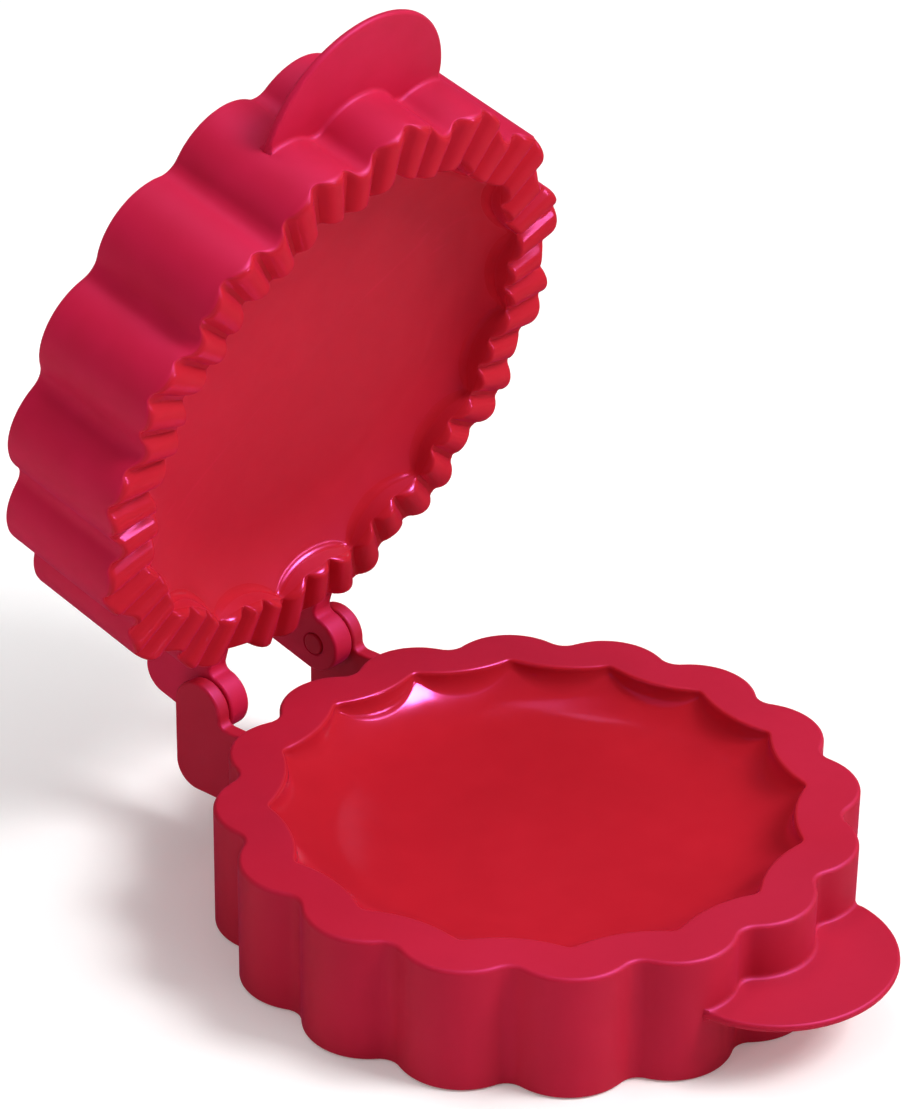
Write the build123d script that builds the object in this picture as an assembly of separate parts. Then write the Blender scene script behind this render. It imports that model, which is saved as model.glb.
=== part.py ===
from build123d import *
import math
import os

# Hinged round press: two fluted shells that close on each other, a smooth rim on the base
# and a toothed crimping rim on the lid.
# Frame: +Z up, origin at the centre of the base where it stands on the table,
# finger tabs towards -Y, hinge axis along X behind the base (+Y).

# ---------------------------------------------------------------- driving dimensions (mm)
N_LOBES = 16            # flutes round each shell
R_CREST = 57.2          # radius to the crest of a flute
LOBE_R = 11.55          # radius of one convex flute
VALLEY_R = 3.5          # radius of the concave valley between two flutes
SKIRT_T = 1.9           # wall of the outer skirt
SHELL_H = 23.9          # height of a shell, rim to skirt edge
RIM_T = 2.0             # thickness of the flat rim

R_CUSP = 47.3           # inner edge of the rim, at a flute's centre line
CUSP_R = 1.2            # rounding of each outward point of that edge
BULGE_R = 23.3          # radius of the inward curves between the points

DISH_TOP_R = 48.6       # radius where the dish curve meets the rim plane
DISH_FLOOR_R = 34.05    # radius where the near-flat floor turns up
DISH_CORNER_R = 22.0    # radius of that turn
DISH_FLOOR_DEG = 6.0    # slope of the floor where it turns up
DISH_EDGE_DEG = 50.0    # slope of the dish at the rim plane
PAN_T = 2.0             # wall of the dish

TEETH_PER_LOBE = 3
TOOTH_H = 1.9           # how far a crimping tooth stands out of the lid's rim
TOOTH_TAPER = 0.056     # tooth radius divided by its distance from the centre
MATE_GAP = 0.94         # room for the dough's edge, tooth crests to base rim when closed

TAB_HALF_W = 21.9       # finger tab
TAB_Y = -52.2
TAB_REACH = 20.2
TAB_T = 1.4
TAB_DROP = 10.5         # rim plane to the tab's face
TAB_EDGE_R = 0.5

AXIS_Y = 63.35          # hinge axis
AXIS_Z = 25.35
OPEN_DEG = 74.0         # how far the lid stands open at rest

EAR_IN = 17.0           # base ears, outside the lugs
EAR_OUT = 20.0
EAR_END_R = 5.5
LUG_IN = 11.9           # lid lugs
LUG_OUT = 16.7
LUG_END_R = 5.6
EAR_DROP = 15.7         # rim plane to the far end of an ear
LUG_DROP = 14.6         # the same on a lug
PLATE_CORNER_R = 5.0
PIN_R = 2.1
PIN_CLEAR = 0.06        # radial running clearance in the lug
SOCKET_DEPTH = 1.8      # blind socket in the ear
PIN_PROUD = 0.25        # how far the pin's domed end shows past the lug
PIN_DOME = 0.4

STEP = 360.0 / N_LOBES
HALF = math.radians(STEP / 2)


def polar(r, deg):
    return (r * math.cos(math.radians(deg)), r * math.sin(math.radians(deg)))


def fluted_face(r_peak, r_lobe, r_valley):
    """Closed outline of tangent arcs: a convex arc on each flute, a concave one in each valley."""
    c = r_peak - r_lobe
    vc = c * math.cos(HALF) + math.sqrt((r_lobe + r_valley) ** 2 - (c * math.sin(HALF)) ** 2)
    edges = []
    for k in range(N_LOBES):
        mid = -90.0 + k * STEP
        lobe_c = polar(c, mid)
        v_next = polar(vc, mid + STEP / 2)
        v_prev = polar(vc, mid - STEP / 2)

        def on(a, b, d):
            dx, dy = b[0] - a[0], b[1] - a[1]
            n = math.hypot(dx, dy)
            return (a[0] + dx / n * d, a[1] + dy / n * d)

        p0 = on(lobe_c, v_prev, r_lobe)
        p1 = on(lobe_c, v_next, r_lobe)
        lobe_next = polar(c, mid + STEP)
        p2 = on(lobe_next, v_next, r_lobe)
        edges.append(ThreePointArc(p0, polar(r_peak, mid), p1))
        edges.append(ThreePointArc(p1, polar(vc - r_valley, mid + STEP / 2), p2))
    return make_face(Wire(edges))


def prism(face, z0, z1):
    return extrude(Pos(0, 0, z0) * face, amount=z1 - z0)


def dish_solid(grow):
    """Bowl under the rim plane z = 0, grown outwards by grow; it also runs up past the rim plane."""
    a1 = math.radians(DISH_FLOOR_DEG)
    a2 = math.radians(DISH_EDGE_DEG)
    r_floor = DISH_FLOOR_R / math.sin(a1)
    z_edge = 0.0
    x_corner = DISH_FLOOR_R - DISH_CORNER_R * math.sin(a1)
    # centre of the corner arc, from its end at the rim plane
    z_corner = z_edge + DISH_CORNER_R * math.cos(a2)
    rc = DISH_CORNER_R + grow

    def corner(a):
        return (x_corner + rc * math.sin(a), z_corner - rc * math.cos(a))

    z_floor_c = z_corner - DISH_CORNER_R * math.cos(a1) + r_floor * math.cos(a1)
    rf = r_floor + grow
    p_low = (0.0, z_floor_c - rf)
    p_mid = (rf * math.sin(a1 / 2), z_floor_c - rf * math.cos(a1 / 2))
    p_turn = corner(a1)
    p_top = corner(a2)
    up = 6.0
    p_out = (p_top[0] + up / math.tan(a2), p_top[1] + up * 1.0)
    with BuildPart() as bowl:
        with BuildSketch(Plane.XZ):
            with BuildLine():
                ThreePointArc(p_low, p_mid, p_turn)
                ThreePointArc(p_turn, corner((a1 + a2) / 2), p_top)
                Line(p_top, p_out)
                Line(p_out, (0.0, p_out[1]))
                Line((0.0, p_out[1]), p_low)
            make_face()
        revolve(axis=Axis.Z)
    return bowl.part


def plate(x_in, x_out, end_r, rim_z, axis_z, drop):
    """Hinge plate for the base, rim plane at rim_z: rounded foot on the skirt, round end on the axis."""
    y_back = AXIS_Y + end_r
    y_front = 50.0
    z_low = rim_z - drop
    w = x_out - x_in
    c = PLATE_CORNER_R
    with BuildPart() as p:
        with BuildSketch(Plane.YZ.offset(x_in)):
            with BuildLine():
                Line((y_front, z_low), (y_back - c, z_low))
                s = math.sqrt(0.5) * c
                ThreePointArc((y_back - c, z_low), (y_back - c + s, z_low + c - s), (y_back, z_low + c))
                Line((y_back, z_low + c), (y_back, axis_z))
                ThreePointArc((y_back, axis_z), (AXIS_Y, axis_z + end_r), (AXIS_Y - end_r, axis_z))
                Line((AXIS_Y - end_r, axis_z), (AXIS_Y - end_r, rim_z))
                Line((AXIS_Y - end_r, rim_z), (y_front, rim_z))
                Line((y_front, rim_z), (y_front, z_low))
            make_face()
        extrude(amount=w)
    return p.part


def tab(rim_z):
    """Thin finger tongue, its face TAB_DROP below the rim plane."""
    z1 = rim_z - TAB_DROP
    with BuildPart() as t:
        with BuildSketch(Plane.XY.offset(z1 - TAB_T)):
            with BuildLine():
                EllipticalCenterArc((0, TAB_Y), TAB_HALF_W, TAB_REACH, start_angle=180, arc_size=180)
                Line((TAB_HALF_W, TAB_Y), (TAB_HALF_W, TAB_Y + 8))
                Line((TAB_HALF_W, TAB_Y + 8), (-TAB_HALF_W, TAB_Y + 8))
                Line((-TAB_HALF_W, TAB_Y + 8), (-TAB_HALF_W, TAB_Y))
            make_face()
        extrude(amount=TAB_T)
        rim_edges = [ed for ed in t.edges()
                     if ed.center().Y < TAB_Y - 1 and abs(ed.bounding_box().size.Z) < 1e-6]
        fillet(rim_edges, TAB_EDGE_R)
    return t.part


def shell(rim_z, plates):
    """One shell with its rim plane at rim_z and its skirt hanging SHELL_H below it."""
    foot = rim_z - SHELL_H
    outer = prism(fluted_face(R_CREST, LOBE_R, VALLEY_R), foot, rim_z)
    inside = prism(fluted_face(R_CREST - SKIRT_T, LOBE_R - SKIRT_T, VALLEY_R + SKIRT_T),
                   foot - 1.0, rim_z - RIM_T)
    lift = Pos(0, 0, rim_z)
    dish = (lift * dish_solid(0.0)) & prism(fluted_face(R_CUSP, CUSP_R, BULGE_R), rim_z - 20, rim_z + 4)
    pan = (lift * dish_solid(PAN_T)) & prism(
        fluted_face(R_CUSP + PAN_T, CUSP_R + PAN_T, BULGE_R - PAN_T), rim_z - 20, rim_z + 4)
    core = prism(fluted_face(R_CREST - SKIRT_T / 2, LOBE_R - SKIRT_T / 2, VALLEY_R + SKIRT_T / 2),
                 foot - 1.0, rim_z)
    body = outer - (inside - pan) - dish
    body = body + (tab(rim_z) - core)
    for pl in plates:
        body = body + (pl - core)
    return body


def one_solid(shape, label):
    solids = shape.solids()
    assert len(solids) == 1, (label, len(solids))
    s = solids[0]
    s.label = label
    return s


def cyl_x(r, x0, x1, y, z):
    return Plane.YZ.offset(x0).location * Pos(y, z, 0) * Cylinder(
        r, x1 - x0, align=(Align.CENTER, Align.CENTER, Align.MIN))


# ---------------------------------------------------------------- base
base_rim = SHELL_H
ears = []
for s in (-1, 1):
    x0, x1 = (EAR_IN, EAR_OUT) if s > 0 else (-EAR_OUT, -EAR_IN)
    ear = plate(x0, x1, EAR_END_R, base_rim, AXIS_Z, EAR_DROP)
    if s > 0:
        ear = ear - cyl_x(PIN_R, EAR_IN - 0.5, EAR_IN + SOCKET_DEPTH, AXIS_Y, AXIS_Z)
    else:
        ear = ear - cyl_x(PIN_R, -EAR_IN - SOCKET_DEPTH, -EAR_IN + 0.5, AXIS_Y, AXIS_Z)
    ears.append(ear)
base_mould = one_solid(shell(base_rim, ears), "base_mould")

# ---------------------------------------------------------------- lid, closed on the base
# Built rim up like the base, then mirrored in a level plane onto it, which puts its rim plane at
# the height where it closes. The shell has the same left and right, so the mirror changes no hand.
lid_rim_closed = SHELL_H + MATE_GAP + TOOTH_H
# lid frame: rim plane at SHELL_H, hinge axis where the mirrored closed lid needs it
axis_in_lid = SHELL_H + (lid_rim_closed - AXIS_Z)
lugs = []
for s in (-1, 1):
    x0, x1 = (LUG_IN, LUG_OUT) if s > 0 else (-LUG_OUT, -LUG_IN)
    lug = plate(x0, x1, LUG_END_R, SHELL_H, axis_in_lid, LUG_DROP)
    lug = lug - cyl_x(PIN_R + PIN_CLEAR, x0 - 1, x1 + 1, AXIS_Y, axis_in_lid)
    lugs.append(lug)
lid = shell(SHELL_H, lugs)

# crimping teeth: cones that radiate from the centre, their crests in one flat plane
pitch = STEP / TEETH_PER_LOBE
beta = math.degrees(math.atan(TOOTH_TAPER))
tip = SHELL_H + TOOTH_H
ring = prism(fluted_face(R_CREST - 0.05, LOBE_R - 0.05, VALLEY_R + 0.05), SHELL_H - 0.05, tip) - prism(
    fluted_face(R_CUSP + 0.3, CUSP_R + 0.3, BULGE_R - 0.3), SHELL_H - 1, tip + 1)
r0, r1 = 38.0, 60.0
cone_len = (r1 - r0)
cone = Cone(r0 * TOOTH_TAPER, r1 * TOOTH_TAPER, cone_len, align=(Align.CENTER, Align.CENTER, Align.MIN))
kinds = []
for j in range(TEETH_PER_LOBE):
    az = -90.0 + pitch / 2 + j * pitch
    tooth = Rot(0, 0, az) * Pos(0, 0, tip) * Rot(0, 90 + beta, 0) * Pos(0, 0, r0) * cone
    kinds.append(tooth & ring)
teeth = []
for k in range(N_LOBES):
    for t in kinds:
        teeth.append(Rot(0, 0, k * STEP) * t)
tooth_solids = [s for t in teeth for s in t.solids()]
lid = lid.fuse(*tooth_solids)

# mirror the rim-up lid onto the base, then open it about the hinge
lid = mirror(lid, about=Plane.XY)                       # rim down, rim plane at -SHELL_H
lid = Pos(0, 0, lid_rim_closed + SHELL_H) * lid         # rim plane at lid_rim_closed
to_axis = Pos(0, AXIS_Y, AXIS_Z)
open_lid = to_axis * Rot(-OPEN_DEG, 0, 0) * Pos(0, -AXIS_Y, -AXIS_Z)
lid_mould = one_solid(open_lid * lid, "lid_mould")

# ---------------------------------------------------------------- pins
pins = {}
for name, s in (("hinge_pin_left", -1), ("hinge_pin_right", 1)):
    length = EAR_IN + SOCKET_DEPTH - 0.1 - (LUG_IN - PIN_PROUD)
    p = Cylinder(PIN_R, length, align=(Align.CENTER, Align.CENTER, Align.MIN))
    p = fillet(p.faces().sort_by(Axis.Z)[0].edges(), PIN_DOME)
    p = Plane.YZ.offset(0).location * p
    if s > 0:
        p = Pos(LUG_IN - PIN_PROUD, AXIS_Y, AXIS_Z) * p
    else:
        p = Pos(-(LUG_IN - PIN_PROUD), AXIS_Y, AXIS_Z) * Rot(0, 0, 180) * p
    pins[name] = one_solid(p, name)

os.makedirs("parts", exist_ok=True)
parts = {"base_mould": base_mould, "lid_mould": lid_mould, **pins}
for name, s in parts.items():
    export_step(s, f"parts/{name}.step")
    bb = s.bounding_box()
    print(name, "valid", s.is_valid, "volume", round(s.volume, 1),
          "box", [round(v, 2) for v in (bb.min.X, bb.min.Y, bb.min.Z, bb.max.X, bb.max.Y, bb.max.Z)])
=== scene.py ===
import math

import bmesh
import bpy
import numpy as np
from mathutils import Matrix, Vector


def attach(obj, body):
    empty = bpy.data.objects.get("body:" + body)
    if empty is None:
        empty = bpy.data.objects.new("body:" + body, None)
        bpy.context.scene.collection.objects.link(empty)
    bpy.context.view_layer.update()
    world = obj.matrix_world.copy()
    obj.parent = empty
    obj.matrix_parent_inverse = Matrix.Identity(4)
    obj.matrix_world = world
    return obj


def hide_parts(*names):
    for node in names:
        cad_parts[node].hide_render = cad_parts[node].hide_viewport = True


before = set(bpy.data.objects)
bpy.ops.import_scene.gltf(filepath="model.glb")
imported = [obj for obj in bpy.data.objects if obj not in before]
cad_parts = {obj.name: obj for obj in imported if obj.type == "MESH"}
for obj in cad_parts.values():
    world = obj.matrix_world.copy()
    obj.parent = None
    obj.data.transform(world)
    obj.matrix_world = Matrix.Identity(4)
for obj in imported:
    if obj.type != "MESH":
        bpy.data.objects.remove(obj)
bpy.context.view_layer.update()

MM = 0.001

# ------------------------------------------------------------------ the moulding's dimensions (mm)
N_LOBES = 16
R_CREST, LOBE_R, VALLEY_R = 57.2, 11.55, 3.5
SKIRT_T, SHELL_H, RIM_T, PAN_T = 1.9, 23.9, 2.0, 2.0
R_CUSP, CUSP_R, BULGE_R = 47.3, 1.2, 23.3
FLOOR_R, CORNER_R, FLOOR_A, EDGE_A = 34.05, 22.0, math.radians(6.0), math.radians(50.0)
TEETH, TOOTH_H, TOOTH_TAPER, MATE_GAP = 48, 1.9, 0.056, 0.94
TAB_HALF_W, TAB_Y, TAB_REACH, TAB_T, TAB_DROP = 21.9, -52.2, 20.2, 1.4, 10.5
AXIS_Y, AXIS_Z = 63.35, 25.35
OPEN_DEG = 74.0
EAR_IN, EAR_OUT, EAR_END_R = 17.0, 20.0, 5.5
LUG_IN, LUG_OUT, LUG_END_R = 11.9, 16.7, 5.6
EAR_DROP, LUG_DROP, PLATE_CORNER_R = 15.7, 14.6, 5.0
PIN_R, PIN_CLEAR, SOCKET = 2.1, 0.06, 1.8
LID_RIM = SHELL_H + MATE_GAP + TOOTH_H
HALF = math.pi / N_LOBES




def smooth(x):
    x = np.clip(x, 0.0, 1.0)
    return x * x * (3 - 2 * x)


def fluted(theta, r_peak, r_lobe, r_valley):
    """Polar radius of the tangent-arc outline at angle theta (a flute is centred on -Y)."""
    c = r_peak - r_lobe
    vc = c * math.cos(HALF) + math.sqrt((r_lobe + r_valley) ** 2 - (c * math.sin(HALF)) ** 2)
    phi = np.mod(theta + math.pi / 2 + HALF, 2 * HALF) - HALF
    a = np.abs(phi)
    tx = c + r_lobe * (vc * math.cos(HALF) - c) / (r_lobe + r_valley)
    ty = r_lobe * (vc * math.sin(HALF)) / (r_lobe + r_valley)
    at = math.atan2(ty, tx)
    lobe = c * np.cos(a) + np.sqrt(np.maximum(r_lobe ** 2 - (c * np.sin(a)) ** 2, 0))
    psi = HALF - a
    valley = vc * np.cos(psi) - np.sqrt(np.maximum(r_valley ** 2 - (vc * np.sin(psi)) ** 2, 0))
    return np.where(a <= at, lobe, valley)


def r_out(theta, inset=0.0):
    return fluted(theta, R_CREST - inset, LOBE_R - inset, VALLEY_R + inset)


def r_in(theta, grow=0.0):
    return fluted(theta, R_CUSP + grow, CUSP_R + grow, BULGE_R - grow)


def dish_depth(r, grow=0.0):
    """Depth below the rim plane of the dish curve, or of its offset by grow (the pan's back)."""
    rf = FLOOR_R / math.sin(FLOOR_A)
    xc = FLOOR_R - CORNER_R * math.sin(FLOOR_A)
    zc = CORNER_R * math.cos(EDGE_A)
    zf = zc - CORNER_R * math.cos(FLOOR_A) + rf * math.cos(FLOOR_A)
    rf, rc = rf + grow, CORNER_R + grow
    turn = xc + rc * math.sin(FLOOR_A)
    floor = zf - np.sqrt(np.maximum(rf ** 2 - r ** 2, 0))
    corner = zc - np.sqrt(np.maximum(rc ** 2 - np.maximum(r - xc, 0) ** 2, 0))
    return -np.where(r < turn, floor, corner)


def bez(p0, p1, p2, t):
    return (1 - t) ** 2 * p0 + 2 * t * (1 - t) * p1 + t ** 2 * p2


def arc_fit(p0, p1, p2, t):
    """A rounder corner than a plain quadratic: a rational Bezier with a 90 degree arc's weight."""
    w = 0.7071
    d = (1 - t) ** 2 + 2 * w * t * (1 - t) + t ** 2
    return ((1 - t) ** 2 * p0 + 2 * w * t * (1 - t) * p1 + t ** 2 * p2) / d


def tooth_rise(theta, r):
    """Height of the crimping ridges over the rim plane: round ridges whose crests are level."""
    pitch = 2 * math.pi / TEETH
    d = np.mod(theta + math.pi / 2, pitch) - pitch / 2
    x = r * np.sin(np.abs(d))
    big = r * TOOTH_TAPER
    h = np.sqrt(np.maximum(big ** 2 - x ** 2, 0)) - (big - TOOTH_H)
    # round the root of each groove
    k = 0.22
    return 0.5 * (h + np.sqrt(h * h + k * k)) - 0.5 * (np.sqrt(TOOTH_H ** 2 + k * k) - TOOTH_H) * (h > 0)


# ------------------------------------------------------------------ the shell as one closed quad grid
def shell_grid(cols, toothed):
    th = -math.pi / 2 + np.arange(cols) * 2 * math.pi / cols
    ct, st = np.cos(th), np.sin(th)
    H = SHELL_H
    rows = []

    def add(r, z, x=None, y=None):
        z = np.broadcast_to(np.asarray(z, float), (cols,))
        if x is None:
            r = np.broadcast_to(np.asarray(r, float), (cols,))
            x, y = r * ct, r * st
        rows.append(np.stack([x, y, z], 1))

    rin = r_in(th)
    rise_mid = tooth_rise(th, 50.0) if toothed else np.zeros(cols)
    # 1. dish, from the centre outwards
    wall_h = dish_depth(rin)
    q1 = np.minimum(1.4 if toothed else 2.4, wall_h * 0.6)
    slope = (dish_depth(rin - 0.01) - dish_depth(rin)) / 0.01
    cs = 1 / np.sqrt(1 + slope ** 2)
    r_end = rin - q1 * cs
    n1 = 30
    for k in range(n1):
        t = (k + 1) / n1
        base_r = 2.2 + (45.0 - 2.2) * (t ** 0.9)
        w = smooth((t - 0.55) / 0.45)
        r = base_r * (1 - w) + w * (r_end * base_r / 45.0)
        add(r, H - dish_depth(r))
    # 2. turn from the dish into the short fluted wall
    z0 = H - dish_depth(r_end)
    zc = H - wall_h
    for t in (0.2, 0.4, 0.6, 0.8, 1.0):
        add(bez(r_end, rin, rin, t), bez(z0, zc, zc + q1, t))
    # 3. wall up to the inner edge of the rim
    q2 = np.minimum(0.75, wall_h * 0.4)
    if toothed:
        e_in = 1.0
        add(rin, H - q2 * 0.4 + 0 * rin)
        in_top = tooth_rise(th, rin + e_in)
        for t in np.linspace(0, 1, 8):
            add(arc_fit(rin, rin, rin + e_in, t), arc_fit(H - q2 * 0.1, H + in_top, H + in_top, t))
        r_rim0 = rin + e_in
    else:
        add(rin, 0.5 * ((zc + q1) + (H - q2)))
        for t in np.linspace(0, 1, 6):
            add(arc_fit(rin, rin, rin + q2, t), arc_fit(H - q2, H + 0 * q2, H + 0 * q2, t))
        r_rim0 = rin + q2
    # 4. across the rim
    e_out = 0.45 + (0.75 * rise_mid / TOOTH_H if toothed else 0.35)
    rout = r_out(th)
    r_rim1 = r_out(th, 1.3) if toothed else r_out(th, 0.8)
    n4 = 10 if toothed else 7
    for k in range(1, n4):
        t = k / n4
        r = r_rim0 * (1 - t) + r_rim1 * t
        z = H + (tooth_rise(th, r) if toothed else 0 * r)
        add(r, z)
    # 5. outer edge
    if toothed:
        top = tooth_rise(th, r_rim1)
        for t in np.linspace(0, 1, 8):
            add(arc_fit(r_rim1, rout, rout, t), arc_fit(H + top, H + top, H - 0.25 + top * 0.35, t))
        z_wall = H - 0.25 + top * 0.35
        add(rout, np.full(cols, H - 1.2))
        z_wall = np.full(cols, H - 1.2)
    else:
        for t in np.linspace(0, 1, 7):
            add(arc_fit(r_rim1, rout, rout, t), arc_fit(H, H, H - 0.8, t) + 0 * rout)
        z_wall = np.full(cols, H - 0.8)
    # 6. outer wall down to the tab's zone, the tab, and on down to the foot
    zt, zb = H - TAB_DROP, H - TAB_DROP - TAB_T
    rf, re = 0.9, 0.62
    zone_hi, zone_lo = zt + rf, zb - rf
    for t in (0.2, 0.4, 0.6, 0.8):
        add(rout, z_wall * (1 - t) + zone_hi * t)
    ang = (th + math.pi / 2 + math.pi) % (2 * math.pi) - math.pi
    lim = math.radians(22.8)
    inside = np.abs(ang) < lim
    u = np.clip(ang / lim, -1, 1)
    beta = u * math.pi / 2
    ex = TAB_HALF_W * np.sin(beta)
    ey = TAB_Y - TAB_REACH * np.cos(beta)
    px, py = rout * ct, rout * st
    dx, dy = ex - px, ey - py
    D = np.where(inside, np.hypot(dx, dy), 0.0)
    safe = np.maximum(D, 1e-9)
    dx, dy = np.where(inside, dx / safe, 0), np.where(inside, dy / safe, 0)
    full = rf + re + 0.3
    scale = np.minimum(1.0, D / full)
    prof = []
    for a in np.linspace(0, math.pi / 2, 6):
        prof.append(("in", rf - rf * math.cos(a), zt + rf - rf * math.sin(a)))
    for t in np.linspace(0, 1, 12)[1:-1]:
        prof.append(("mid", t, zt))
    for a in np.linspace(0, math.pi / 2, 6):
        prof.append(("out", re - re * math.sin(a), zt - re + re * math.cos(a)))
    for a in np.linspace(0, math.pi / 2, 6):
        prof.append(("out", re - re * math.cos(a), zb + re - re * math.sin(a)))
    for t in np.linspace(1, 0, 9)[1:-1]:
        prof.append(("mid", t, zb))
    for a in np.linspace(0, math.pi / 2, 6):
        prof.append(("in", rf - rf * math.sin(a), zb - rf + rf * math.cos(a)))
    wgt = smooth(D / 2.2)
    n6 = len(prof)
    for i, (kind, v, z) in enumerate(prof):
        if kind == "in":
            d = v * scale
        elif kind == "out":
            d = D - v * scale
        else:
            d = rf * scale * (1 - v) + (D - re * scale) * v
        # where the tab fades out into the skirt, the profile's heights blend into an even spacing down the
        # wall
        z_even = zone_hi + (zone_lo - zone_hi) * i / (n6 - 1)
        zz = z_even * (1 - wgt) + z * wgt
        d = np.where(inside, d, 0)
        add(None, zz, px + dx * d, py + dy * d)
    for t in (0.25, 0.5, 0.75):
        add(rout, zone_lo * (1 - t) + 0.5 * t + 0 * rout)
    # 7. foot: rounded lower edge of the skirt
    e = 0.5
    for t in np.linspace(0, 1, 5):
        add(arc_fit(rout, rout, r_out(th, e), t), arc_fit(e, 0.0, 0.0, t) + 0 * rout)
    for t in np.linspace(0, 1, 5):
        ri = r_out(th, SKIRT_T)
        add(arc_fit(r_out(th, SKIRT_T - e), ri, ri, t), arc_fit(0.0, 0.0, e, t) + 0 * rout)
    # 8. inner wall up, turn under the rim, back along the rim's underside
    ri = r_out(th, SKIRT_T)
    zr = H - RIM_T
    for t in (0.33, 0.66):
        add(ri, e * (1 - t) + (zr - 1.2) * t)
    r_u0 = r_out(th, SKIRT_T + 1.2)
    for t in np.linspace(0, 1, 5):
        add(arc_fit(ri, ri, r_u0, t), arc_fit(zr - 1.2, zr, zr, t) + 0 * ri)
    rp = r_in(th, PAN_T)
    r_u1 = rp + 0.8
    add(0.5 * (r_u0 + r_u1), zr)
    for t in np.linspace(0, 1, 4):
        add(arc_fit(r_u1, rp, rp, t), arc_fit(zr, zr, zr - 0.8, t) + 0 * rp)
    # 9. pan's back, in to the centre
    zp = H - dish_depth(rp, PAN_T)
    zp = np.minimum(zp, zr - 1.0)
    q3 = 0.9
    r_b = rp - q3
    z_b = H - dish_depth(r_b, PAN_T)
    zp_edge = np.minimum(zp + 0.3, zr - 0.9)
    for t in (0.0, 0.33, 0.66, 1.0):
        add(bez(rp, rp, r_b, t), bez(zp_edge, zp, z_b, t))
    n9 = 20
    for k in range(1, n9 + 1):
        t = 1 - k / n9
        base_r = 2.2 + (48.0 - 2.2) * t
        w = smooth((t - 0.5) / 0.5)
        r = base_r * (1 - w) + w * (r_b * base_r / 48.0)
        r = np.minimum(r, r_b - 0.02)
        add(r, H - dish_depth(r, PAN_T))
    return np.array(rows)


def grid_object(name, rows, place, flip, polish):
    """Closed mesh from rings of columns; both ends are closed by rings that halve their points."""
    nr, nc, _ = rows.shape
    verts = [Vector(p) for p in rows.reshape(-1, 3)]
    faces = []
    for i in range(nr - 1):
        for j in range(nc):
            k = (j + 1) % nc
            faces.append((i * nc + j, (i + 1) * nc + j, (i + 1) * nc + k, i * nc + k))

    def cap(ring, first, inward_down):
        ids = list(ring)
        scale = 1.0
        z_of = inward_down
        while len(ids) > 12 and len(ids) % 2 == 0:
            scale *= 0.72
            new = []
            for j in range(0, len(ids), 2):
                p = verts[ids[j]]
                r = math.hypot(p.x, p.y)
                s = 0.72
                nr_ = r * s
                verts.append(Vector((p.x * s, p.y * s, z_of(nr_))))
                new.append(len(verts) - 1)
            n = len(ids)
            m = len(new)
            for a in range(m):
                i0, i1, i2 = ids[2 * a], ids[(2 * a + 1) % n], ids[(2 * a + 2) % n]
                c0, c1 = new[a], new[(a + 1) % m]
                tris = [(i0, i1, c0), (i1, i2, c1), (i1, c1, c0)]
                faces.extend(t if first else t[::-1] for t in tris)
            ids = new
        verts.append(Vector((0, 0, z_of(0.0))))
        c = len(verts) - 1
        for a in range(len(ids)):
            t = (ids[a], ids[(a + 1) % len(ids)], c)
            faces.append(t if first else t[::-1])

    cap(range(nc), True, lambda r: SHELL_H - float(dish_depth(np.array(r))))
    cap(range((nr - 1) * nc, nr * nc), False, lambda r: SHELL_H - float(dish_depth(np.array(r), PAN_T)))
    me = bpy.data.meshes.new(name)
    pts = [place(v) * MM for v in verts]
    if flip:
        faces = [f[::-1] for f in faces]
    me.from_pydata([tuple(p) for p in pts], [], faces)
    at = me.attributes.new("polish", "FLOAT", "POINT")
    n_grid = nr * nc
    shine = np.zeros(len(verts), np.float32)
    for first, last, value in polish:
        shine[nc * first:nc * last] = value
    ring_pts = np.array([(v.x, v.y, v.z) for v in verts[n_grid:]])
    top_side = ring_pts[:, 2] > SHELL_H - float(dish_depth(np.array(0.0))) - PAN_T * 0.5
    shine[n_grid:][top_side] = polish[0][2]
    at.data.foreach_set("value", shine)
    ob = bpy.data.objects.new(name, me)
    bpy.context.scene.collection.objects.link(ob)
    return ob


OPEN = math.radians(OPEN_DEG)


def place_base(v):
    return v


def place_lid(v):
    """Rim-up shell frame, turned over onto the base, then opened about the hinge line."""
    z = LID_RIM - (v.z - SHELL_H)
    dy, dz = v.y - AXIS_Y, z - AXIS_Z
    return Vector((v.x, AXIS_Y + dy * math.cos(OPEN) + dz * math.sin(OPEN),
                   AXIS_Z - dy * math.sin(OPEN) + dz * math.cos(OPEN)))


# ------------------------------------------------------------------ hinge plates
def plate_outline(end_r, axis_z, y_front, drop):
    rim = SHELL_H - 0.35
    low = SHELL_H - drop
    c = PLATE_CORNER_R
    yb = AXIS_Y + end_r
    pts = [(y_front, low)]
    for a in np.linspace(-math.pi / 2, 0, 12):
        pts.append((yb - c + c * math.cos(a), low + c + c * math.sin(a)))
    for a in np.linspace(0, math.pi, 33):
        pts.append((AXIS_Y + end_r * math.cos(a), axis_z + end_r * math.sin(a)))
    f = 1.4
    yl = AXIS_Y - end_r
    for a in np.linspace(0, -math.pi / 2, 7):
        pts.append((yl - f + f * math.cos(a), rim + f + f * math.sin(a)))
    pts.append((y_front, rim))
    return pts


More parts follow.
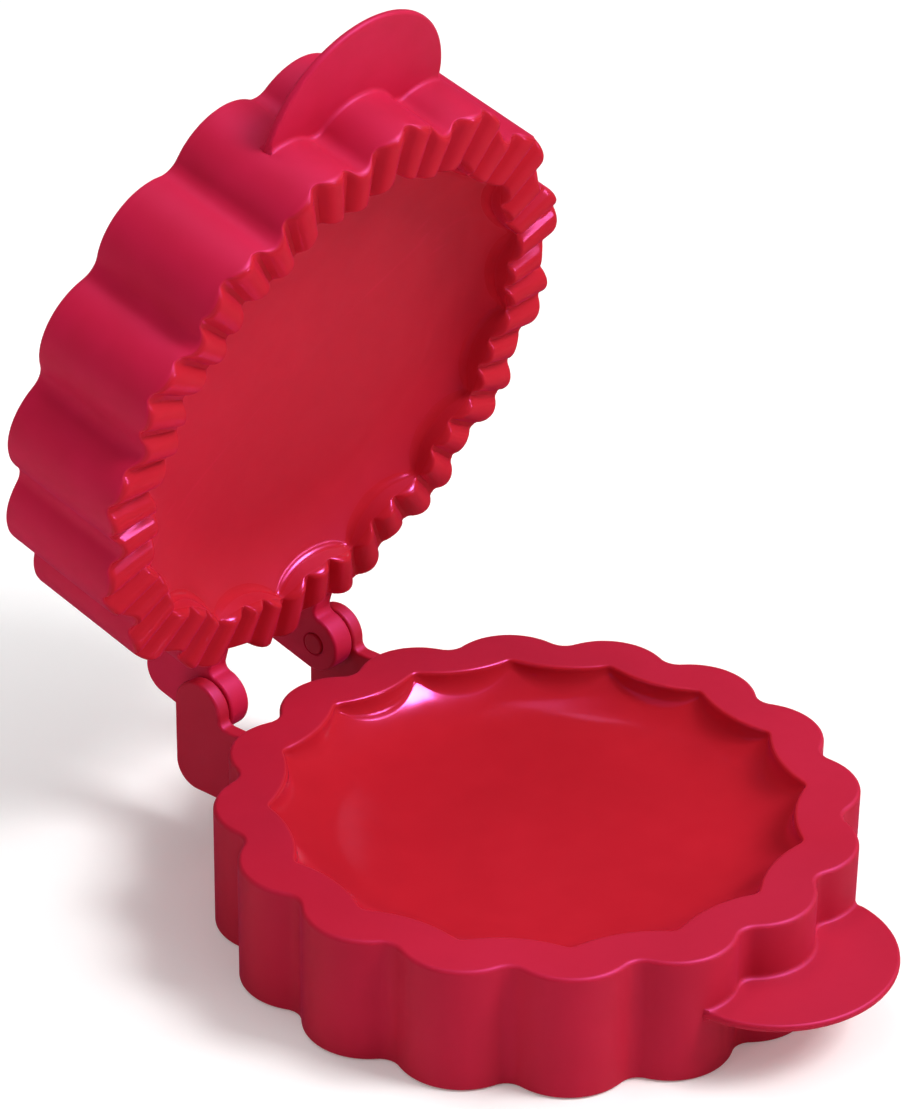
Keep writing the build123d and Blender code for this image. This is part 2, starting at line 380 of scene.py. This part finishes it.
def plate_object(name, x0, x1, end_r, axis_z, y_front, drop, place, flip, edge=0.6):
    pts = plate_outline(end_r, axis_z, y_front, drop)
    bm = bmesh.new()
    lo = [bm.verts.new((x0, y, z)) for y, z in pts]
    hi = [bm.verts.new((x1, y, z)) for y, z in pts]
    n = len(pts)
    bm.faces.new(lo[::-1])
    bm.faces.new(hi)
    for i in range(n):
        j = (i + 1) % n
        bm.faces.new((lo[i], lo[j], hi[j], hi[i]))
    bmesh.ops.recalc_face_normals(bm, faces=bm.faces)
    rim_edges = []
    for e in bm.edges:
        a, b = e.verts
        if abs(a.co.x - b.co.x) < 1e-6 and max(a.co.y, b.co.y) > y_front + 1e-3:
            rim_edges.append(e)
    bmesh.ops.bevel(bm, geom=rim_edges, offset=edge, segments=4, profile=0.5, affect="EDGES",
                    clamp_overlap=True)
    for v in bm.verts:
        v.co = place(v.co.copy()) * MM
    if flip:
        bmesh.ops.reverse_faces(bm, faces=bm.faces)
    bmesh.ops.recalc_face_normals(bm, faces=bm.faces)
    me = bpy.data.meshes.new(name)
    bm.to_mesh(me)
    bm.free()
    ob = bpy.data.objects.new(name, me)
    bpy.context.scene.collection.objects.link(ob)
    return ob


def turned_cutter(name, prof, x_sign, axis_z, place, seg=48):
    """Solid of revolution about the hinge line; prof is a list of (distance along X, radius)."""
    bm = bmesh.new()
    rings = []
    for x, r in prof:
        rings.append([bm.verts.new((x_sign * x, AXIS_Y + r * math.cos(2 * math.pi * k / seg),
                                    axis_z + r * math.sin(2 * math.pi * k / seg))) for k in range(seg)])
    for a, b in zip(rings[:-1], rings[1:]):
        for k in range(seg):
            j = (k + 1) % seg
            bm.faces.new((a[k], a[j], b[j], b[k]))
    bm.faces.new(rings[0][::-1])
    bm.faces.new(rings[-1])
    for v in bm.verts:
        v.co = place(v.co.copy()) * MM
    bmesh.ops.recalc_face_normals(bm, faces=bm.faces)
    me = bpy.data.meshes.new(name)
    bm.to_mesh(me)
    bm.free()
    ob = bpy.data.objects.new(name, me)
    bpy.context.scene.collection.objects.link(ob)
    return ob


def boolean(target, tool, op):
    m = target.modifiers.new(op.lower(), "BOOLEAN")
    m.object = tool
    m.operation = op
    m.solver = "EXACT"
    dg = bpy.context.evaluated_depsgraph_get()
    dg.update()
    new = bpy.data.meshes.new_from_object(target.evaluated_get(dg))
    target.modifiers.clear()
    old = target.data
    target.data = new
    bpy.data.meshes.remove(old)
    tool_me = tool.data
    bpy.data.objects.remove(tool)
    bpy.data.meshes.remove(tool_me)


def smooth_shade(ob):
    me = ob.data
    me.polygons.foreach_set("use_smooth", [True] * len(me.polygons))
    me.update()


# ------------------------------------------------------------------ build
base = grid_object("base_shell", shell_grid(384, False), place_base, False, ((0, 39, 1.0), (39, 40, 0.6), (40, 41, 0.3)))
lid = grid_object("lid_shell", shell_grid(768, True), place_lid, True, ((0, 29, 0.12), (29, 30, 0.4), (30, 34, 0.85), (34, 37, 0.3), (37, 57, 0.8), (57, 58, 0.4)))
axis_in_lid = SHELL_H + (LID_RIM - AXIS_Z)
for ob in (base, lid):
    bm = bmesh.new()
    bm.from_mesh(ob.data)
    bmesh.ops.recalc_face_normals(bm, faces=bm.faces)
    bm.to_mesh(ob.data)
    bm.free()


def co_key(co):
    return (round(co[0] * 1e7), round(co[1] * 1e7), round(co[2] * 1e7))


def polish_table(ob):
    at = ob.data.attributes["polish"]
    return {co_key(v.co): at.data[v.index].value for v in ob.data.vertices}


# the joined plates are satin like the outside: only the shell's own points keep their polish
shine_of = {base: polish_table(base), lid: polish_table(lid)}
for s in (-1, 1):
    side = "left" if s < 0 else "right"
    x0, x1 = sorted((s * EAR_IN, s * EAR_OUT))
    ear = plate_object("ear_" + side, x0, x1, EAR_END_R, AXIS_Z, 52.4, EAR_DROP, place_base, False)
    boolean(ear, turned_cutter("c", [(EAR_IN - 1, PIN_R + 0.02), (EAR_IN + SOCKET, PIN_R + 0.02)], s, AXIS_Z,
                               place_base), "DIFFERENCE")
    boolean(base, ear, "UNION")
    x0, x1 = sorted((s * LUG_IN, s * LUG_OUT))
    lug = plate_object("lug_" + side, x0, x1, LUG_END_R, axis_in_lid, 51.6, LUG_DROP, place_lid, True)
    rb = PIN_R + PIN_CLEAR
    boolean(lug, turned_cutter("c", [(LUG_IN - 1, rb + 0.3), (LUG_IN, rb + 0.3), (LUG_IN + 0.3, rb),
                                     (LUG_OUT + 1, rb)], s, axis_in_lid, place_lid), "DIFFERENCE")
    boolean(lid, lug, "UNION")
for ob in (base, lid):
    old = ob.data.attributes.get("polish")
    if old is not None:
        ob.data.attributes.remove(old)
    at = ob.data.attributes.new("polish", "FLOAT", "POINT")
    at.data.foreach_set("value", [shine_of[ob].get(co_key(v.co), 0.0) for v in ob.data.vertices])
    ob.data.polygons.foreach_set("material_index", [0] * len(ob.data.polygons))
    smooth_shade(ob)
    ob.data.set_sharp_from_angle(angle=math.radians(38))
    w = ob.modifiers.new("weighted", "WEIGHTED_NORMAL")
    w.keep_sharp = True
    w.weight = 50
    w.mode = "FACE_AREA"

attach(base, "base")
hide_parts("base_mould")
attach(lid, "lid")
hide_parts("lid_mould")


# ------------------------------------------------------------------ material
def moulded_red(name, seed, dish=True, red=1.0, blue=1.0, gloss=0.34):
    m = bpy.data.materials.new(name)
    m.use_nodes = True
    nt = m.node_tree
    nd, lk = nt.nodes, nt.links
    nd.clear()
    out = nd.new("ShaderNodeOutputMaterial")
    b = nd.new("ShaderNodeBsdfPrincipled")
    lk.new(b.outputs["BSDF"], out.inputs["Surface"])
    b.inputs["IOR"].default_value = 1.49
    b.inputs["Specular IOR Level"].default_value = gloss
    b.inputs["Specular Tint"].default_value = (1.0, 0.12, 0.60, 1.0)
    b.inputs["Sheen Weight"].default_value = 0.16
    b.inputs["Sheen Roughness"].default_value = 0.35
    b.inputs["Sheen Tint"].default_value = (1.0, 0.04, 0.42, 1.0)
    tc = nd.new("ShaderNodeTexCoord")
    off = nd.new("ShaderNodeVectorMath")
    off.operation = "ADD"
    off.inputs[1].default_value = (seed * 0.37, seed * 0.11, seed * 0.23)
    lk.new(tc.outputs["Object"], off.inputs[0])

    def noise(scale, detail, rough, lo, hi, dist=0.0):
        n = nd.new("ShaderNodeTexNoise")
        n.inputs["Scale"].default_value = scale
        n.inputs["Detail"].default_value = detail
        n.inputs["Roughness"].default_value = rough
        n.inputs["Distortion"].default_value = dist
        lk.new(off.outputs[0], n.inputs["Vector"])
        r = nd.new("ShaderNodeMapRange")
        r.inputs["From Min"].default_value = 0.3
        r.inputs["From Max"].default_value = 0.7
        r.inputs["To Min"].default_value = lo
        r.inputs["To Max"].default_value = hi
        lk.new(n.outputs["Fac"], r.inputs["Value"])
        return r.outputs["Result"]

    def math2(op, a, c):
        n = nd.new("ShaderNodeMath")
        n.operation = op
        lk.new(a, n.inputs[0])
        if isinstance(c, float):
            n.inputs[1].default_value = c
        else:
            lk.new(c, n.inputs[1])
        return n.outputs[0]

    def mix(fac, a, c, blend="MIX"):
        n = nd.new("ShaderNodeMix")
        n.data_type = "RGBA"
        n.blend_type = blend
        lk.new(fac, n.inputs[0])
        for k, v in ((6, a), (7, c)):
            if isinstance(v, tuple):
                n.inputs[k].default_value = v
            else:
                lk.new(v, n.inputs[k])
        return n.outputs[2]

    # colour: slow flow variation of the pigment, a faint mottle, and paler, pinker edges that are partly
    # rubbed wear and partly a painted edge highlight
    flow = noise(26.0, 3.0, 0.5, 0.0, 1.0, 0.5)
    # the satin outside's colour, scaled by red and blue: on the base its red sits below the dish's as painted
    # shade; on the lid the gains make it brighter and pinker as painted light and a painted pink sheen
    col = mix(flow, (0.437 * red, 0.0105, 0.024 * blue, 1), (0.500 * red, 0.0120, 0.030 * blue, 1))
    if dish:
        at = nd.new("ShaderNodeAttribute")
        at.attribute_name = "polish"
        inner = mix(flow, (0.48, 0.0135, 0.0245, 1), (0.54, 0.0155, 0.0295, 1))
        face = nd.new("ShaderNodeMapRange")
        face.inputs["From Max"].default_value = 0.1
        lk.new(at.outputs["Fac"], face.inputs["Value"])
        col = mix(face.outputs["Result"], col, inner)
    col = mix(noise(170.0, 1.0, 0.5, 0.0, 0.22), col, (0.45, 0.0095, 0.021, 1))
    # convex edges (pointiness) are painted paler and pinker: rubbed wear and a painted edge highlight
    geo = nd.new("ShaderNodeNewGeometry")
    edge = nd.new("ShaderNodeMapRange")
    edge.inputs["From Min"].default_value = 0.53
    edge.inputs["From Max"].default_value = 0.62
    lk.new(geo.outputs["Pointiness"], edge.inputs["Value"])
    wear_and_edge_highlight = math2("MULTIPLY", math2("MULTIPLY", edge.outputs["Result"], noise(130.0, 3.0, 0.6, 0.2, 1.0)), 0.30)
    col = mix(wear_and_edge_highlight, col, (0.64, 0.022, 0.060, 1))
    lk.new(col, b.inputs["Base Color"])
    # gloss: the dish is polished, the outside has a finer satin from the mould
    cloud = noise(38.0, 2.0, 0.5, -0.03, 0.035)
    if dish:
        rr = nd.new("ShaderNodeMapRange")
        rr.inputs["To Min"].default_value = 0.52
        rr.inputs["To Max"].default_value = 0.14
        lk.new(at.outputs["Fac"], rr.inputs["Value"])
        rough = math2("ADD", rr.outputs["Result"], cloud)
    else:
        rough = math2("ADD", cloud, 0.50)
    rough = math2("ADD", rough, noise(600.0, 1.0, 0.5, -0.01, 0.01))
    lk.new(rough, b.inputs["Roughness"])
    # relief: soft sinks of the moulding and a very fine satin
    b1 = nd.new("ShaderNodeBump")
    b1.inputs["Strength"].default_value = 0.05
    b1.inputs["Distance"].default_value = 0.00004
    lk.new(noise(420.0, 1.0, 0.5, 0.0, 1.0), b1.inputs["Height"])
    b2 = nd.new("ShaderNodeBump")
    b2.inputs["Strength"].default_value = 0.16
    b2.inputs["Distance"].default_value = 0.00035
    lk.new(noise(60.0, 2.0, 0.5, 0.0, 1.0), b2.inputs["Height"])
    lk.new(b1.outputs["Normal"], b2.inputs["Normal"])
    lk.new(b2.outputs["Normal"], b.inputs["Normal"])
    return m


red_base = moulded_red("red_moulding_base", 1)
# the lid's outside is painted brighter (red x1.17) and pinker (blue x1.7): painted light and a painted pink
# sheen on its skirts
red_lid = moulded_red("red_moulding_lid", 2, red=1.17, blue=1.7, gloss=0.25)
red_pin = moulded_red("red_pin_plastic", 3, dish=False)
base.data.materials.clear()
base.data.materials.append(red_base)
lid.data.materials.clear()
lid.data.materials.append(red_lid)
for n in ("hinge_pin_left", "hinge_pin_right"):
    ob = bpy.data.objects.get(n)
    for i in range(len(ob.material_slots)):
        ob.material_slots[i].link = "OBJECT"
        ob.material_slots[i].material = red_pin

# ------------------------------------------------------------------ stage, light, camera
def stage_material(name, col, rough):
    m = bpy.data.materials.new(name)
    m.use_nodes = True
    b = m.node_tree.nodes["Principled BSDF"]
    b.inputs["Base Color"].default_value = (*col, 1)
    b.inputs["Roughness"].default_value = rough
    return m


me = bpy.data.meshes.new("floor")
S = 4.0
me.from_pydata([(-S, -S, 0), (S, -S, 0), (S, S, 0), (-S, S, 0)], [], [(0, 1, 2, 3)])
floor = bpy.data.objects.new("floor", me)
floor.location = (0, 0, -0.0002)
bpy.context.scene.collection.objects.link(floor)
sweep = stage_material("floor_white", (0.93, 0.93, 0.93), 0.9)
sweep.node_tree.nodes["Principled BSDF"].inputs["Emission Color"].default_value = (1, 1, 1, 1)
sweep.node_tree.nodes["Principled BSDF"].inputs["Emission Strength"].default_value = 0.16
me.materials.append(sweep)

world = bpy.data.worlds.new("studio")
bpy.context.scene.world = world
world.use_nodes = True
bg = world.node_tree.nodes["Background"]
bg.inputs["Color"].default_value = (1.0, 1.0, 1.0, 1)
bg.inputs["Strength"].default_value = 0.17

CENTRE = Vector((0.0, 0.02, 0.045))


def aim(ob, direction, dist):
    d = Vector(direction).normalized()
    ob.location = CENTRE + d * dist
    ob.rotation_euler = (-d).to_track_quat("-Z", "Y").to_euler()
    bpy.context.scene.collection.objects.link(ob)
    return ob


def area(name, direction, dist, size, power, size_y=None, color=(1, 1, 1)):
    ld = bpy.data.lights.new(name, "AREA")
    ld.energy = power
    ld.color = color
    ld.size = size
    if size_y:
        ld.shape = "RECTANGLE"
        ld.size_y = size_y
    return aim(bpy.data.objects.new(name, ld), direction, dist)




def far_light(name, direction, strength, angle):
    ld = bpy.data.lights.new(name, "SUN")
    ld.energy = strength
    ld.angle = math.radians(angle)
    return aim(bpy.data.objects.new(name, ld), direction, 2.0)


# the fills on top and at the right and the key light the form without mirroring in the plastic; the left fill
# and the overhead box do both, and the two sparks only mirror
far_light("fill_top", (0.10, -0.10, 0.99), 0.52, 80).visible_glossy = False
far_light("fill_right", (0.75, -0.50, 0.42), 1.05, 70).visible_glossy = False
far_light("fill_left", (-0.83, 0.28, 0.50), 0.42, 45)
area("key", (0.28, -0.62, 0.73), 1.3, 0.40, 10.0, 0.40).visible_glossy = False
area("overhead_box", (0.08, 0.25, 0.96), 1.3, 0.55, 3.0, 0.45)
area("spark_high", (0.31, -0.44, 0.84), 1.3, 0.32, 60.0, 0.28).visible_diffuse = False
area("spark_low", (0.36, -0.82, 0.44), 1.3, 0.20, 7.5, 0.16).visible_diffuse = False
floor.visible_glossy = False
world.cycles_visibility.glossy = False

cam_data = bpy.data.cameras.new("camera")
cam = bpy.data.objects.new("camera", cam_data)
bpy.context.scene.collection.objects.link(cam)
bpy.context.scene.camera = cam
AZ, EL, ROLL, DIST = math.radians(-50.7384), math.radians(28.5485), math.radians(0.8471), 15.096
UNIT = 0.0522
F_PX = 261.5295 * 15.096
target = Vector((1.3356, 1.478, 0.3)) * UNIT
back = Vector((math.sin(AZ) * math.cos(EL), -math.cos(AZ) * math.cos(EL), math.sin(EL)))
right = (-back).cross(Vector((0, 0, 1))).normalized()
up = right.cross(-back)
c, s = math.cos(ROLL), math.sin(ROLL)
right, up = c * right + s * up, -s * right + c * up
M = Matrix((right, up, back)).transposed().to_4x4()
M.translation = target + back * DIST * UNIT
cam.matrix_world = M
cam_data.sensor_fit = "AUTO"
cam_data.sensor_width = 36.0
cam_data.lens = F_PX / 1109.0 * 36.0
cam_data.clip_start = 0.01
cam_data.clip_end = 20.0

vs = bpy.context.scene.view_settings
vs.view_transform = "Standard"
vs.look = "None"
vs.exposure = 0.0
vs.gamma = 1.0

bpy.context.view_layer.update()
